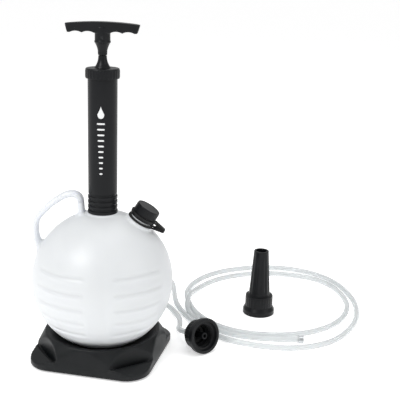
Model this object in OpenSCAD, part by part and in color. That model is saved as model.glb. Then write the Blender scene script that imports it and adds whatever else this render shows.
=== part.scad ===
// Manual fluid transfer pump: a hand pump screwed on a round blow-moulded tank that sits on a
// moulded stand, with a tethered filler cap, a loose suction hose and a pouring nozzle.
// Millimetres. Z is up, the floor is z = 0 and the pump's axis is x = 0, y = 0.

/* [Tank] */
// Outer diameter of the round tank
tank_d = 236; // [200:1:280]
// Wall of the tank, its neck and its spout
tank_wall = 2.4; // [1.6:0.1:3.6]
// Height of the tank's lowest point above the floor
tank_seat_h = 16; // [14:0.5:22]
// Outer diameter of the neck that the pump screws on
neck_d = 38; // [34:0.5:40]
// Height of the neck above the top of the tank
neck_h = 18; // [14:0.5:22]
// Width of the collar under the pump, outside the neck
neck_collar_w = 7; // [6:0.5:10]
// Thickness of the carrying loop, across its bend
loop_t = 9.4; // [7:0.2:12]
// Width of the carrying loop
loop_w = 20; // [14:1:26]

/* [Filler spout] */
// Lean of the filler spout from vertical, in degrees
spout_lean = 31; // [20:1:40]
// Outer diameter of the filler spout
spout_d = 36; // [32:0.5:38]
// Height of the spout above the tank's surface
spout_h = 26; // [22:0.5:30]
// Gap between the filler cap and the leash's lower ring
cap_gap = 3.2; // [2:0.1:5]
// Wall of the filler cap round the spout
cap_wall = 2; // [1.6:0.1:4]
// Height of the filler cap
cap_h = 22; // [18:0.5:26]
// Thickness of the cap's top
cap_top_t = 2.6; // [2:0.2:4]
// Length of each half of the folding leash
leash_link = 17; // [16:0.5:22]
// Width of the leash
leash_w = 10; // [6:0.5:14]
// Thickness of the leash
leash_t = 3.2; // [2:0.1:3.6]

/* [Stand] */
// Side of the square stand
stand_side = 206; // [190:1:230]
// Radius of the stand's corners in plan
stand_corner_r = 40; // [30:1:50]
// Turn of the stand about the pump's axis, in degrees
stand_turn = -12; // [-45:1:45]
// Height of the stand's upright edge
stand_edge_h = 13; // [10:0.5:16]
// Height of the stand's rim under the tank
stand_rim_z = 46; // [40:0.5:50]
// Radius of the opening inside the stand's rim
stand_rim_r = 92; // [86:0.5:94]
// Wall of the stand
stand_wall = 3; // [2.4:0.1:4]
// Distance of each tread's ridge from the axis
tread_ridge = 107; // [104:1:110]
// Height of the rubber feet below the stand
foot_h = 2; // [1:0.2:3]
// Diameter of the rubber feet
foot_d = 24; // [16:1:28]

/* [Pump barrel] */
// Outer diameter of the barrel
barrel_d = 47.3; // [46.5:0.1:50]
// Wall of the barrel
barrel_wall = 3; // [2.6:0.1:3.4]
// Number of grip rings at the foot of the barrel
grip_rings = 4; // [2:1:4]
// Spacing of the grip rings
grip_pitch = 8.2; // [7.5:0.1:9]
// Depth of the grooves between the grip rings
grip_depth = 1.3; // [0.8:0.1:1.5]
// Thickness of the barrel cap's skirt round the barrel
head_wall = 3.9; // [3.2:0.1:6]
// Height of the barrel's cap
head_h = 16; // [14:0.5:20]
// Number of grip flutes round the barrel's cap
head_flutes = 28; // [18:1:36]
// Height of the cone above the barrel's cap
nose_h = 19; // [15:0.5:24]

/* [Plunger] */
// Diameter of the plunger rod
rod_d = 10; // [8:0.2:10.6]
// Travel of the plunger, which sets the length of the barrel
plunger_travel = 180; // [150:1:230]
// Height of the piston
piston_h = 14; // [11:0.5:18]
// Width of the handle, tip to tip
grip_w = 118; // [100:1:140]
// Depth of the handle, front to back
grip_t = 22; // [18:0.5:28]
// Height of the handle at its middle
grip_h = 17; // [14:0.5:22]
// Wall of the handle's hub round the rod
hub_wall = 7.3; // [6:0.1:9]
// Diameter of the pin through the hub and rod
pin_d = 4; // [3:0.2:4]

/* [Float valve] */
// Diameter of the float ball
ball_d = 21; // [18:0.5:22]
// Travel of the float ball
ball_travel = 12; // [8:0.5:14]

/* [Hose set] */
// Outer diameter of the hose
hose_d = 10; // [8:0.5:10]
// Width of the adapter's flange outside its thread
adapter_flange_w = 10.5; // [8:0.1:12]
// Wall of the adapter's collar outside its thread
adapter_wall = 4.5; // [3:0.1:6]
// Radius of the threaded bores of the adapter and the nozzle
thread_r = 20.5; // [19.5:0.1:21.5]
// Depth of the adapter's threaded bore
adapter_bore_l = 20; // [16:0.5:21]
// Width of the ferrule's rim outside the hose
ferrule_rim = 1.5; // [1:0.1:1.8]
// Length of the ferrule
ferrule_l = 9; // [7:0.5:14]

/* [Pouring nozzle] */
// Height of the nozzle
nozzle_h = 127; // [100:1:150]
// Width of the nozzle's flange outside its thread
nozzle_flange_w = 9.7; // [8:0.1:12]
// Wall of the nozzle's collar outside its thread
nozzle_wall = 5.5; // [4:0.1:7]
// Wall of the nozzle's tip
tip_wall = 3.8; // [3:0.1:5]
// Inner diameter of the nozzle's tip
tip_bore_d = 20.8; // [16:0.2:22]

/* [Fits] */
// Radial gap of a running fit
run_gap = 0.05; // [0.02:0.01:0.1]
// Gap between neighbouring pieces
part_gap = 0.3; // [0.2:0.05:0.5]

/* [Hidden] */
$fn = 96;
tiny = 0.01;
big = 400;
black = "#1b1c1e";
hdpe = "#eef0f2";
rubber = "#101010";

// Tank
tank_r = tank_d / 2;
tank_z = tank_r + tank_seat_h;
tank_top = tank_z + tank_r;
neck_r = neck_d / 2;
neck_top = tank_top + neck_h;
neck_bore_r = neck_r - tank_wall;
neck_collar_r = neck_r + neck_collar_w;
neck_collar_h = 3;
neck_collar_z = sqrt(pow(tank_r, 2) - pow(neck_collar_r, 2)) + tank_z - 1;
spout_r = spout_d / 2;
spout_bore_r = spout_r - tank_wall;
spout_flange_r = spout_r + 4.6;
spout_flange_h = 3;
// The loop's middle line from the tank's side up and over to the neck, on a tank of radius loop_tank_r
loop_tank_r = 118;
loop_shape = [[-97, 34], [-108, 62], [-111.5, 78], [-111, 92], [-106, 106], [-88, 126], [-67, 141.5],
    [-56, 146], [-47, 146.5], [-40, 143], [-36, 134], [-35, 104]];
loop_line = [for (p = loop_shape) [0, tank_z] + tank_r / loop_tank_r * p];

// Filler cap, along the spout's axis from the tank's centre
neck_ring_z = tank_r + 3.2;
neck_ring_h = 2.4;
cap_z = neck_ring_z + neck_ring_h + cap_gap;
cap_lip_h = 3.2;
cap_r = spout_r + part_gap + cap_wall;
cap_lip_r = cap_r + 1.6;
cap_bevel = 2;
cap_flutes = 24;
cap_flute_r = 1.2;
cap_ring_z = cap_z + cap_lip_h + part_gap;
cap_ring_h = 2.8;
leash_ring_r = cap_r + 2.6;
liner_t = 1.8;
leash_x = leash_ring_r + 2;
hinge_pin_d = 1.6;
leash_low_z = neck_ring_z + neck_ring_h / 2;
leash_high_z = cap_ring_z + cap_ring_h / 2;
leash_slope = asin((leash_high_z - leash_low_z) / (2 * leash_link));
fold_x = leash_x + leash_link * cos(leash_slope);
fold_z = (leash_low_z + leash_high_z) / 2;
fork_l = 6.8;
fork_w = 2;
ear_t = 2.4;
ear_gap = 0.3;
strap_t = leash_t - 0.4;

// Stand
stand_h0 = foot_h;
stand_top_r = stand_rim_r + 5;
tread_z = 9;
tread_top = 19;
tread_edge = 11;
scoop_r = 200;
scoop_reach = stand_top_r + 2;
// The dish follows the tank's ball up to seat_z, then runs straight to the rim
seat_lean = atan2(stand_rim_r, tank_z - stand_rim_z) - acos(tank_r / norm([stand_rim_r, tank_z - stand_rim_z]));
seat_r0 = tank_r * sin(seat_lean);
seat_z0 = tank_z - tank_r * cos(seat_lean);
boss_r = 15;
rib_t = 2.4;
hollow_r = scoop_reach - stand_wall - 2;
foot_spread = stand_side / 2 - stand_corner_r + 14;
stand_foot_sink = 1;

// Pump, from the barrel's foot up
cage_flange_t = 1.2;
barrel_r = barrel_d / 2;
barrel_bore_r = barrel_r - barrel_wall;
barrel_z = neck_collar_z + neck_collar_h;
gasket_t = 3;
gasket_z = neck_top + cage_flange_t;
floor_z = gasket_z + gasket_t;
floor_t = 4;
bore_z = floor_z + floor_t;
port_r = 1.6;
port_ring_r = 5.5;
valve_stem_r = 1.9;
socket_r = neck_r + part_gap;
grip_h0 = 4;
grip_land = 4.2;
piston_z = bore_z + 4;
piston_top = piston_z + piston_h;
flap_t = 1.2;
end_gap = 3.7;
bush_flange_t = 3;
barrel_top = piston_top + flap_t + plunger_travel + end_gap + bush_flange_t;
head_z = barrel_top - head_h + 3.6;
head_in_r = barrel_r + part_gap / 2;
head_r = head_in_r + head_wall;
head_bevel = 3;
flute_r = 1.6;
flute_depth = 0.7;
head_top = head_z + head_h;
rod_r = rod_d / 2;
bush_r = rod_r + 4;
bush_z = barrel_top - bush_flange_t;
nose_r = rod_r + 7.2;
neck_min_r = rod_r + 1.8;
nose_top = head_top + nose_h;

// Plunger at rest: the handle's neck stands on the nose
stop_gap = 0.4;
neck_z = nose_top + stop_gap;
neck_l = 20;
hub_z = neck_z + neck_l;
hub_r = rod_r + hub_wall;
hub_lip = 0.6;
hub_lip_h = 2.4;
grip_z = hub_z + 15;
piston_r = barrel_bore_r - 0.25;
seal_h = 4;
seal_depth = 3;
seal_z = piston_z + 3.5;
rod_z = piston_top + flap_t;
rod_top = grip_z + 6;
pin_z = hub_z + 8;
bolt_r = 2.5;
bolt_l = 16;
bolt_head_h = 3;
bolt_head_r = 4.8;
transfer_r = 1.8;
transfer_ring_r = 11;

// Float valve in the tank's neck
cage_r = neck_bore_r - part_gap;
ball_r = ball_d / 2;
cage_bore_r = ball_r + 0.8;
cage_floor_t = 2;
cage_top_t = 3;
cage_top = neck_top;
seat_r = 7;
seat_drop = sqrt(pow(ball_r, 2) - pow(seat_r, 2));
seat_gap = 0.2;
ball_rest_z = cage_top - cage_top_t - seat_drop - ball_travel - seat_gap;
cage_z = ball_rest_z - seat_drop - seat_gap - cage_floor_t;

// Suction hose and the adapter at its near end
hose_r = hose_d / 2;
hose_sides = 10;
adapter_az = -50;
adapter_lift = 11;
adapter_r = thread_r + adapter_flange_w;
adapter_collar_r = thread_r + adapter_wall;
adapter_flange_h = 9;
hose_set_x = stand_side / 2 - 103;
adapter_at = [hose_set_x + 177, 2, adapter_r * cos(adapter_lift) + adapter_flange_h * sin(adapter_lift) + 0.1];
adapter_collar_l = 27;
adapter_back_l = 34;
adapter_hub_d = 18;
adapter_l = 46;
adapter_floor_t = 6;
chamber_r = thread_r - 4;
chamber_h = 9;
chamber_l = adapter_bore_l + chamber_h;
spigot_r = 5.6;
spigot_l = 9;
mouth_r = thread_r + 5;
mouth_l = 5;
washer_t = 2;
washer_hole_r = 11;
ferrule_bore_r = 3.4;
ferrule_az = -3;
hose_end = [hose_set_x + 345, 56, hose_r + ferrule_rim + 0.3];
adapter_dir = [cos(adapter_lift) * cos(adapter_az), cos(adapter_lift) * sin(adapter_az), sin(adapter_lift)];
hose_start = adapter_at - adapter_l * adapter_dir;
lie = hose_r + 0.2;
hose_route = [[136, 52, 17.8], [129, 76, 11.5], [130, 104, 7], [128, 135, lie], [118, 165, lie],
    [105, 193, lie], [84, 218, lie], [52, 236, lie], [15, 243, lie], [-15, 267, lie], [-26, 303, lie],
    [-14, 341, lie], [15, 366, lie], [50, 372, lie], [84, 356, lie], [105, 325, lie], [112, 285, lie],
    [115, 245, lie], [123, 198, lie], [143, 145, lie], [172, 96, lie], [206, 58, lie], [245, 37, lie],
    [290, 25, lie], [335, 24, lie], [378, 38, lie], [415, 66, lie], [447, 113, lie], [468, 165, lie],
    [477, 225, lie], [473, 285, lie], [455, 347, lie], [421, 394, lie], [375, 422, lie], [325, 431, lie],
    [270, 423, lie], [220, 401, lie], [180, 366, lie], [153, 322, lie], [141, 282, lie], [140, 245, lie],
    [147, 205, lie], [160, 165, lie], [182, 128, lie], [212, 99, lie], [250, 81, lie], [295, 75, lie],
    [340, 81, lie], [382, 99, lie], [419, 131, lie], [446, 175, lie], [460, 228, lie], [457, 285, lie],
    [440, 335, lie], [408, 370, lie], [365, 388, lie], [320, 394, lie], [270, 386, lie], [225, 364, lie],
    [190, 334, lie], [165, 298, lie], [152, 265, 8.5], [147, 240, 15.2], [143, 212, 15.4],
    [142, 188, 10.2], [149, 158, lie], [166, 127, lie], [190, 98, lie], [222, 75, lie], [262, 62, lie],
    [305, 58, lie]];

// Pouring nozzle, standing on its flange inside the hose's loops
nozzle_at = [hose_set_x + 281, 191, 0];
nozzle_flange_r = thread_r + nozzle_flange_w;
nozzle_flange_h = 14;
nozzle_collar_r = thread_r + nozzle_wall;
nozzle_collar_z = 35;
flange_bevel = 2;
cone_z = 42;
cone_r = nozzle_collar_r - 5.4;
tip_bore_r = tip_bore_d / 2;
tip_r = tip_bore_r + tip_wall;
tip_bore_l = 14;
nozzle_bore_l = 26;
nozzle_step = 29;

// Radius of the arc that is upright at one end and has moved sideways by dx after dz
function flare_r(dx, dz) = (dx * dx + dz * dz) / (2 * dx);

// A point of the smooth curve through p, at share t of the way from point i to the next
function curve_at(p, i, t) =
    let(a = p[max(i - 1, 0)], b = p[i], c = p[i + 1], d = p[min(i + 2, len(p) - 1)])
    b + (t * (c - a) + t * t * (2 * a - 5 * b + 4 * c - d) + t * t * t * (3 * b - a - 3 * c + d)) / 2;

// The curve's points moved sideways by dist
function beside(p, dist) = [for (i = [0 : len(p) - 1])
    let(d = p[min(i + 1, len(p) - 1)] - p[max(i - 1, 0)]) p[i] + dist * [-d[1], d[0]] / norm(d)];

function reversed(p) = [for (i = [len(p) - 1 : -1 : 0]) p[i]];

// Moves a shape from the spout's own frame, whose origin is the tank's centre, to the pump's
module on_spout() {
    translate([0, 0, tank_z]) rotate([0, spout_lean, 0]) children();
}

module ring(outer, inner, h) {
    difference() {
        cylinder(r = outer, h = h);
        translate([0, 0, -1]) cylinder(r = inner, h = h + 2);
    }
}

// ---------- Tank ----------

module loop_outline() {
    steps = 4;
    last = len(loop_line) - 1;
    middle = concat([for (i = [0 : last - 1]) for (k = [0 : steps - 1]) curve_at(loop_line, i, k / steps)],
        [loop_line[last]]);
    polygon(concat(beside(middle, loop_t / 2), reversed(beside(middle, -loop_t / 2))));
}

module tank() {
    color(hdpe) difference() {
        union() {
            translate([0, 0, tank_z]) sphere(r = tank_r);
            translate([0, 0, neck_collar_z]) cylinder(r = neck_collar_r, h = neck_collar_h);
            translate([0, 0, neck_collar_z]) cylinder(r = neck_r, h = neck_top - neck_collar_z);
            on_spout() translate([0, 0, tank_r - 8]) cylinder(r = spout_r, h = spout_h + 8);
            on_spout() translate([0, 0, tank_r - 6]) cylinder(r = spout_flange_r, h = 6 + spout_flange_h);
            translate([0, loop_w / 2, 0]) rotate([90, 0, 0]) linear_extrude(loop_w) loop_outline();
        }
        translate([0, 0, tank_z]) sphere(r = tank_r - tank_wall);
        translate([0, 0, tank_z]) cylinder(r = neck_bore_r, h = big);
        on_spout() cylinder(r = spout_bore_r, h = big);
    }
}

// ---------- Stand ----------

module stand_plan(grow) {
    a = stand_side / 2 - stand_corner_r;
    r = stand_corner_r + grow;
    for (x = [-a, a]) for (y = [-a, a]) translate([x, y]) circle(r = r, $fn = 64);
    square([2 * a, stand_side + 2 * grow], center = true);
    square([stand_side + 2 * grow, 2 * a], center = true);
}

// The outer form: a rounded square that rises to a round rim
module stand_form(inset) {
    hull() {
        translate([0, 0, stand_h0]) linear_extrude(stand_edge_h - stand_h0 - inset / 2) stand_plan(-inset);
        translate([0, 0, stand_rim_z - inset - 1]) cylinder(r = stand_top_r - inset, h = 1, $fn = 96);
    }
}

// The dish that the tank sits in
module seat(grow) {
    translate([0, 0, tank_z]) sphere(r = tank_r + grow);
    translate([0, 0, seat_z0 - grow])
        cylinder(r1 = seat_r0, r2 = 2 * stand_rim_r - seat_r0, h = 2 * (stand_rim_z - seat_z0));
}

// The curved cut behind one corner's tread
module scoop() {
    translate([scoop_reach + scoop_r, 0, tread_z]) cylinder(r = scoop_r, h = big, $fn = 240);
}

// One corner's tread: it rises from the corner to a ridge, with a gutter behind
module tread() {
    run = stand_side;
    outside = tread_ridge + 60;
    low = tread_z - 1;
    rotate([90, 0, 0]) translate([0, 0, -run / 2]) linear_extrude(run)
        polygon([[tread_ridge - 6, low], [tread_ridge - 1.5, tread_top], [tread_ridge + 1.5, tread_top],
            [tread_ridge + 24, tread_edge], [outside, tread_edge], [outside, low]]);
}

module stand() {
    color(black) rotate(stand_turn) difference() {
        union() {
            difference() {
                stand_form(0);
                for (k = [0 : 3]) rotate(45 + 90 * k) scoop();
            }
            intersection() {
                translate([0, 0, stand_h0]) linear_extrude(tread_top) stand_plan(0);
                for (k = [0 : 3]) rotate(45 + 90 * k) intersection() {
                    tread();
                    translate([scoop_reach + scoop_r, 0, 0]) cylinder(r = scoop_r + 0.5, h = big);
                }
            }
        }
        seat(0);
        difference() {
            stand_hollow();
            seat(stand_wall);
            cylinder(r = boss_r, h = big);
            for (k = [0 : 3]) rotate(45 * k) translate([-big / 2, -rib_t / 2, 0]) cube([big, rib_t, big]);
        }
        for (p = foot_places()) translate(p) cylinder(d = foot_d + part_gap, h = stand_h0 + stand_foot_sink);
    }
}

// The hollow under the stand: shallow under the treads, deeper under the tank
module stand_hollow() {
    low = tread_z - stand_wall;
    translate([0, 0, -1]) linear_extrude(low + 1) stand_plan(-stand_wall);
    translate([0, 0, -1]) intersection() {
        cylinder(r = hollow_r, h = big);
        stand_form(stand_wall);
    }
}

function foot_places() = concat([[0, 0, 0]],
    [for (x = [-1, 1]) for (y = [-1, 1]) [x * foot_spread, y * foot_spread, 0]]);

module feet() {
    color(rubber) rotate(stand_turn) for (p = foot_places())
        translate(p) cylinder(d = foot_d, h = stand_h0 + stand_foot_sink);
}

// ---------- Pump barrel and its head ----------

module pump_barrel() {
    color(black) difference() {
        union() {
            translate([0, 0, barrel_z]) cylinder(r = barrel_r, h = barrel_top - barrel_z);
            for (i = [0 : grip_rings - 1]) translate([0, 0, barrel_z + i * grip_pitch])
                cylinder(r = barrel_r + (i == 0 ? 1 : 0.6), h = grip_pitch);
        }
        for (i = [0 : grip_rings - 1]) translate([0, 0, barrel_z + grip_h0 + 1 + i * grip_pitch])
            ring(big, barrel_r - grip_depth, grip_pitch - grip_land - 1);
        translate([0, 0, bore_z]) cylinder(r = barrel_bore_r, h = big);
        translate([0, 0, barrel_z - 1]) cylinder(r = socket_r, h = floor_z - barrel_z + 1);
        for (k = [0 : 5]) rotate(60 * k) translate([port_ring_r, 0, floor_z - 1])
            cylinder(r = port_r, h = floor_t + 2);
        translate([0, 0, floor_z - 1]) cylinder(r = valve_stem_r + 0.1, h = floor_t + 2);
    }
}

module barrel_cap() {
    arc_r = flare_r(nose_r - neck_min_r, nose_h);
    color(black) difference() {
        union() {
            translate([0, 0, head_z]) cylinder(r = head_r, h = head_h - head_bevel);
            translate([0, 0, head_top - head_bevel])
                cylinder(r1 = head_r, r2 = head_r - head_bevel, h = head_bevel);
            translate([0, 0, head_top]) rotate_extrude() difference() {
                square([nose_r, nose_h]);
                translate([neck_min_r + arc_r, nose_h]) circle(r = arc_r);
            }
        }
        translate([0, 0, head_z - 1]) cylinder(r = head_in_r, h = barrel_top - head_z + 1);
        translate([0, 0, barrel_top - 1]) cylinder(r = bush_r + part_gap / 2, h = head_top - barrel_top - 1);
        translate([0, 0, barrel_top]) cylinder(r = rod_r + part_gap, h = big);
        for (k = [0 : head_flutes - 1]) rotate(360 / head_flutes * k)
            translate([head_r + flute_r - flute_depth, 0, head_z + 2.5])
                cylinder(r = flute_r, h = head_h, $fn = 24);
    }
}

module rod_bush() {
    color("#d9d4c4") difference() {
        union() {
            translate([0, 0, bush_z]) cylinder(r = barrel_bore_r - run_gap, h = bush_flange_t);
            translate([0, 0, bush_z]) cylinder(r = bush_r, h = bush_flange_t + head_top - barrel_top - 2.2);
        }
        translate([0, 0, bush_z - 1]) cylinder(r = rod_r + run_gap, h = big);
    }
}

module neck_gasket() {
    color(rubber) translate([0, 0, gasket_z]) ring(neck_r, neck_bore_r - 1, gasket_t);
}

// Umbrella valve on the barrel's floor: a soft disc over the ports and a stem in the middle hole
module foot_valve() {
    color(rubber) union() {
        translate([0, 0, bore_z]) cylinder(r = port_ring_r + port_r + 1.3, h = 1.4);
        translate([0, 0, floor_z - 1.6]) cylinder(r = valve_stem_r, h = floor_t + 2);
        translate([0, 0, floor_z - 2.2]) cylinder(r = valve_stem_r + 0.7, h = 2);
    }
}

// ---------- Float valve ----------

module float_cage() {
    color("#e4e4de") difference() {
        union() {
            translate([0, 0, cage_z]) cylinder(r = cage_r, h = cage_top - cage_z);
            translate([0, 0, cage_top]) cylinder(r = neck_r, h = cage_flange_t);
        }
        translate([0, 0, cage_z + cage_floor_t])
            cylinder(r = cage_bore_r, h = cage_top - cage_top_t - cage_z - cage_floor_t);
        translate([0, 0, cage_z - 1]) cylinder(r = seat_r, h = big);
        for (k = [0 : 3]) rotate(45 + 90 * k)
            translate([0, -4, cage_z + cage_floor_t + 3]) cube([cage_r + 1, 8, ball_travel + 4]);
    }
}

module float_ball() {
    color("#f4b400") translate([0, 0, ball_rest_z]) sphere(r = ball_r);
}

// ---------- Plunger ----------

module piston_seal() {
    color(rubber) translate([0, 0, seal_z + run_gap])
        ring(barrel_bore_r - run_gap, piston_r - seal_depth + run_gap, seal_h - 2 * run_gap);
}

module piston() {
    color("#c9c9c4") difference() {
        translate([0, 0, piston_z]) cylinder(r = piston_r, h = piston_h);
        translate([0, 0, seal_z]) ring(big, piston_r - seal_depth, seal_h);
        for (k = [0 : 5]) rotate(60 * k) translate([transfer_ring_r, 0, piston_z - 1])
            cylinder(r = transfer_r, h = piston_h + 2);
        translate([0, 0, piston_z - 1]) cylinder(r = bolt_r + run_gap, h = piston_h + 2);
        translate([0, 0, piston_z - 1]) cylinder(r = bolt_head_r + 1.2, h = bolt_head_h + 1.2);
    }
}

module piston_valve() {
    color(rubber) translate([0, 0, piston_top]) ring(transfer_ring_r + transfer_r + 1.2, bolt_r + part_gap, flap_t);
}

module piston_bolt() {
    color("silver") union() {
        translate([0, 0, piston_z]) cylinder(r = bolt_head_r, h = bolt_head_h + 0.2, $fn = 6);
        translate([0, 0, piston_z + 1]) cylinder(r = bolt_r, h = rod_z + bolt_l - piston_z - 4.2);
    }
}

module plunger_rod() {
    color(black) difference() {
        translate([0, 0, rod_z]) cylinder(r = rod_r, h = rod_top - rod_z);
        translate([0, 0, rod_z - 1]) cylinder(r = bolt_r + run_gap, h = bolt_l + 1);
        translate([0, 0, pin_z]) rotate([90, 0, 0]) cylinder(d = pin_d + 2 * run_gap, h = big, center = true);
    }
}

// Front outline of the handle's bar: an arched top, finger hollows below and round tips
module grip_outline() {
    half = grip_w / 2;
    arch_rise = 3.5;
    arch_r = (half * half + arch_rise * arch_rise) / (2 * arch_rise);
    tip_slant = 4.5;
    finger_r = 19;
    finger_depth = 2.4;
    intersection() {
        translate([0, grip_h - arch_r]) circle(r = arch_r, $fn = 200);
        difference() {
            polygon([[-half + tip_slant, 0], [half - tip_slant, 0], [half, grip_h - arch_rise],
                [half, 2 * grip_h], [-half, 2 * grip_h], [-half, grip_h - arch_rise]]);
            for (s = [-1, 1]) for (x = [22, 41]) translate([s * x, finger_depth - finger_r]) circle(r = finger_r);
        }
    }
}

module t_handle() {
    arc_r = flare_r(hub_r - neck_min_r, neck_l);
    color(black) difference() {
        union() {
            intersection() {
                translate([0, grip_t / 2, grip_z]) rotate([90, 0, 0]) linear_extrude(grip_t) grip_outline();
                translate([0, 0, grip_z - 1]) linear_extrude(2 * grip_h) stadium(grip_w, grip_t);
            }
            translate([0, 0, hub_z]) cylinder(r = hub_r, h = grip_z - hub_z + grip_h / 2);
            translate([0, 0, hub_z]) cylinder(r = hub_r + hub_lip, h = hub_lip_h);
            translate([0, 0, neck_z]) rotate_extrude() difference() {
                square([hub_r, neck_l]);
                translate([neck_min_r + arc_r, 0]) circle(r = arc_r);
            }
        }
        translate([0, 0, neck_z - 1]) cylinder(r = rod_r + run_gap, h = rod_top - neck_z + 1.2);
        translate([0, 0, pin_z]) rotate([90, 0, 0]) cylinder(d = pin_d + 2 * run_gap, h = big, center = true);
    }
}

module stadium(w, t) {
    square([w - t, t], center = true);
    for (s = [-1, 1]) translate([s * (w - t) / 2, 0]) circle(d = t);
}

module handle_pin() {
    color("silver") translate([0, 0, pin_z]) rotate([90, 0, 0])
        cylinder(d = pin_d, h = 2 * hub_r - 1, center = true);
}

// ---------- Filler cap and its leash ----------

// A pair of ears that stand out from a leash ring, one on each side of the strap
module ears(z, h, l) {
    for (s = [-1, 1]) translate([leash_ring_r - 1.5, s * (leash_w + 2 * ear_gap + ear_t) / 2 - ear_t / 2, z])
        cube([l, ear_t, h]);
}

module leash_neck_ring() {
    color(rubber) on_spout() difference() {
        union() {
            translate([0, 0, neck_ring_z]) ring(leash_ring_r, spout_r + part_gap, neck_ring_h);
            ears(neck_ring_z, neck_ring_h, leash_x - leash_ring_r + 3);
        }
        translate([leash_x, 0, leash_low_z]) rotate([90, 0, 0])
            cylinder(d = hinge_pin_d + 2 * run_gap, h = big, center = true);
    }
}

module leash_cap_ring() {
    color(rubber) on_spout() union() {
        translate([0, 0, cap_ring_z]) ring(leash_ring_r, cap_r + part_gap, cap_ring_h);
        ears(cap_ring_z, cap_ring_h, 4);
    }
}

// A flat strap along +x that starts in a round knuckle
module strap(l, w) {
    rotate([90, 0, 0]) translate([0, 0, -w / 2]) linear_extrude(w) {
        circle(d = leash_t);
        translate([0, -strap_t / 2]) square([l, strap_t]);
    }
}

// The lower half forks at its far end, and the upper half swings between the fork's prongs
module leash_lower() {
    color(rubber) on_spout() translate([leash_x, 0, leash_low_z]) rotate([0, -leash_slope, 0]) union() {
        strap(leash_link - fork_l, leash_w);
        rotate([90, 0, 0]) cylinder(d = hinge_pin_d, h = leash_w + 2 * (ear_gap + ear_t), center = true);
        for (s = [-1, 1])
            translate([leash_link - fork_l - 1, (s * (leash_w - fork_w) - fork_w) / 2, -strap_t / 2])
                cube([fork_l + 1, fork_w, strap_t]);
        translate([leash_link, 0, 0]) rotate([90, 0, 0]) cylinder(d = hinge_pin_d, h = leash_w, center = true);
        for (s = [-1, 1]) translate([leash_link, s * (leash_w - fork_w) / 2, 0]) rotate([90, 0, 0])
            cylinder(d = leash_t, h = fork_w, center = true);
    }
}

module leash_upper() {
    w = leash_w - 2 * fork_w - 2 * part_gap;
    color(rubber) on_spout() difference() {
        translate([fold_x, 0, fold_z]) rotate([0, 180 + leash_slope, 0]) strap(leash_link + 0.5, w);
        translate([fold_x, 0, fold_z]) rotate([90, 0, 0])
            cylinder(d = hinge_pin_d + 2 * run_gap, h = big, center = true);
    }
}

module filler_cap() {
    color(black) on_spout() difference() {
        union() {
            translate([0, 0, cap_z]) cylinder(r = cap_lip_r, h = cap_lip_h);
            translate([0, 0, cap_z]) cylinder(r = cap_r, h = cap_h - cap_bevel);
            translate([0, 0, cap_z + cap_h - cap_bevel])
                cylinder(r1 = cap_r, r2 = cap_r - cap_bevel, h = cap_bevel);
        }
        translate([0, 0, cap_z - 1]) cylinder(r = spout_r + part_gap, h = cap_h - cap_top_t + 1);
        for (k = [0 : cap_flutes - 1]) rotate(360 / cap_flutes * k)
            translate([cap_r + cap_flute_r - 0.5, 0, cap_ring_z + cap_ring_h + 1.2])
                cylinder(r = cap_flute_r, h = cap_h, $fn = 24);
    }
}

module cap_liner() {
    color("#b9bcc0") on_spout() translate([0, 0, cap_z + cap_h - cap_top_t - liner_t])
        cylinder(r = spout_r, h = liner_t - tiny);
}

// ---------- Suction hose, adapter and ferrule ----------

// Moves a shape whose mouth is at z = 0 and faces +z to the adapter's place on the floor
module at_adapter() {
    translate(adapter_at) rotate([0, 90 - adapter_lift, adapter_az]) children();
}

module hose_adapter() {
    color(black) at_adapter() difference() {
        union() {
            translate([0, 0, -adapter_flange_h]) cylinder(r = adapter_r, h = adapter_flange_h);
            translate([0, 0, -adapter_collar_l]) cylinder(r = adapter_collar_r, h = adapter_collar_l - 1);
            translate([0, 0, -adapter_back_l])
                cylinder(r1 = adapter_collar_r - 5, r2 = adapter_collar_r, h = adapter_back_l - adapter_collar_l);
            translate([0, 0, -adapter_l]) cylinder(d = adapter_hub_d, h = adapter_l - adapter_back_l + 1);
        }
        translate([0, 0, -mouth_l]) cylinder(r = mouth_r, h = mouth_l + 1);
        difference() {
            union() {
                translate([0, 0, -adapter_bore_l]) cylinder(r = thread_r, h = adapter_bore_l + 1);
                translate([0, 0, -chamber_l]) cylinder(r = chamber_r, h = chamber_l);
            }
            translate([0, 0, -chamber_l - 1]) cylinder(r = spigot_r, h = spigot_l + 1);
        }
        translate([0, 0, -adapter_l + adapter_floor_t]) cylinder(r = ferrule_bore_r, h = adapter_l);
    }
}

module adapter_washer() {
    color(rubber) at_adapter() translate([0, 0, -chamber_l]) ring(chamber_r - part_gap, washer_hole_r, washer_t);
}

function unit(v) = v / norm(v);

// The hose's own points with its two ends, and the direction it runs at each
function hose_points() = concat([hose_start], [for (q = hose_route) q + [hose_set_x, 0, 0]], [hose_end]);
function hose_ways(p) = [for (i = [0 : len(p) - 1])
    i == 0 ? -adapter_dir
    : i == len(p) - 1 ? [cos(ferrule_az), sin(ferrule_az), 0]
    : unit(p[i + 1] - p[i - 1])];
function hose_ring(c, way) = let(side = unit(cross([0, 0, 1], way)), up = cross(way, side))
    [for (k = [0 : hose_sides - 1]) let(a = 360 / hose_sides * k)
        c + hose_r * (cos(a) * side + sin(a) * up)];

module suction_hose() {
    p = hose_points();
    w = hose_ways(p);
    n = hose_sides;
    last = len(p) - 1;
    points = [for (i = [0 : last]) each hose_ring(p[i], w[i])];
    walls = [for (i = [0 : last - 1]) for (k = [0 : n - 1])
        [i * n + k, i * n + (k + 1) % n, (i + 1) * n + (k + 1) % n, (i + 1) * n + k]];
    near_end = [for (k = [n - 1 : -1 : 0]) k];
    far_end = [for (k = [0 : n - 1]) last * n + k];
    color([0.85, 0.9, 0.9, 0.5]) polyhedron(points, concat([near_end], [for (f = walls) f], [far_end]));
}

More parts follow.
